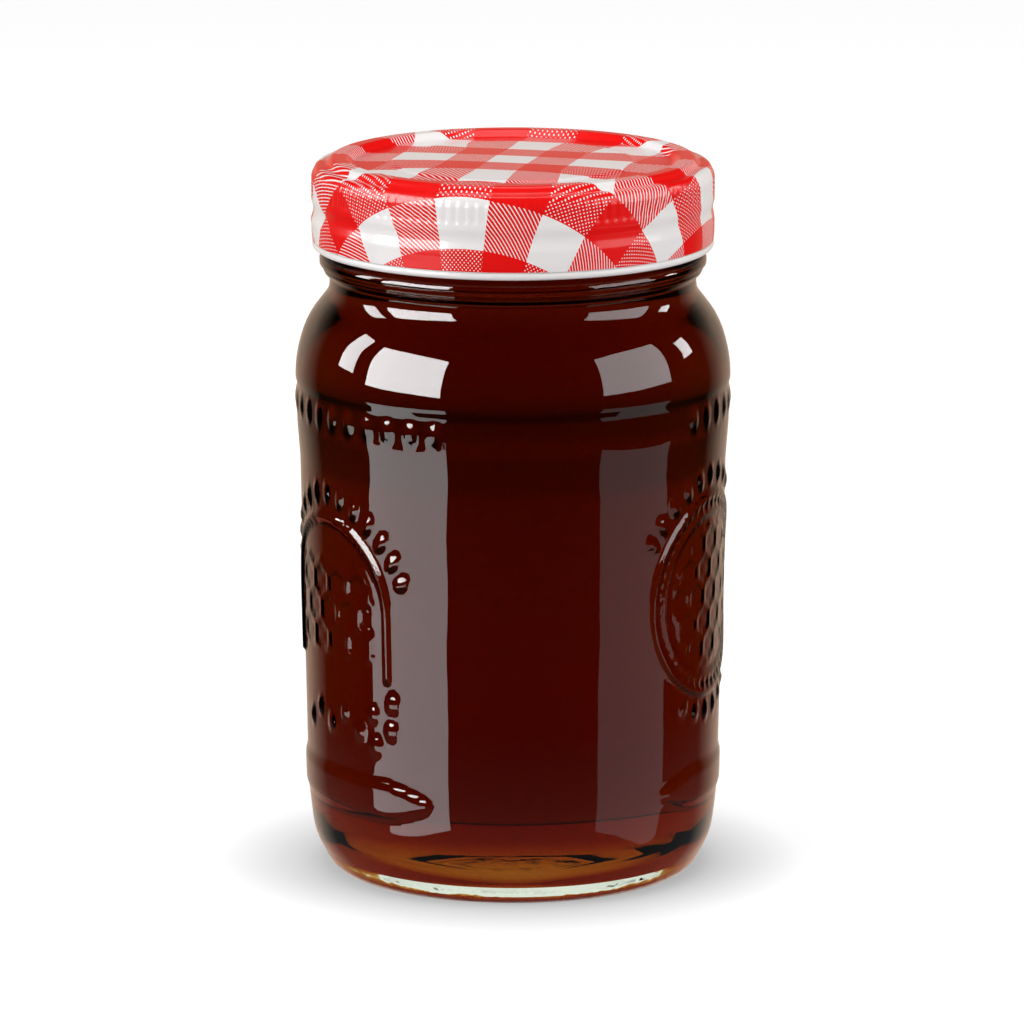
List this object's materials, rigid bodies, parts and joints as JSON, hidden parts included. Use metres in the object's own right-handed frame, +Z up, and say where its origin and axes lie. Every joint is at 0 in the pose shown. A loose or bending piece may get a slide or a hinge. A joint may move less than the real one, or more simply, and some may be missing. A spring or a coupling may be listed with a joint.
{
  "type": "honey jar",
  "caption": "Squat embossed glass preserving jar filled with dark honey, under a one-piece gingham-printed tinplate screw lid.",
  "frame": {"origin": "on the surface the jar stands on, at the centre of its base", "axes": "+Z up along the jar's axis, -Y towards the plain front panel of the glass, +X to the right as seen from the front"},
  "size_m": [0.0802, 0.0796, 0.1318],
  "materials": {
    "clear_glass": "clear flint glass, moulded, fire-polished",
    "honey": "dark translucent liquid, glossy",
    "printed_tinplate": "tinplate printed in red and white gingham under clear lacquer"
  },
  "bodies": {
    "root": {"glass_jar": "clear_glass", "honey": "honey", "lid": "printed_tinplate"}
  },
  "joints": []
}
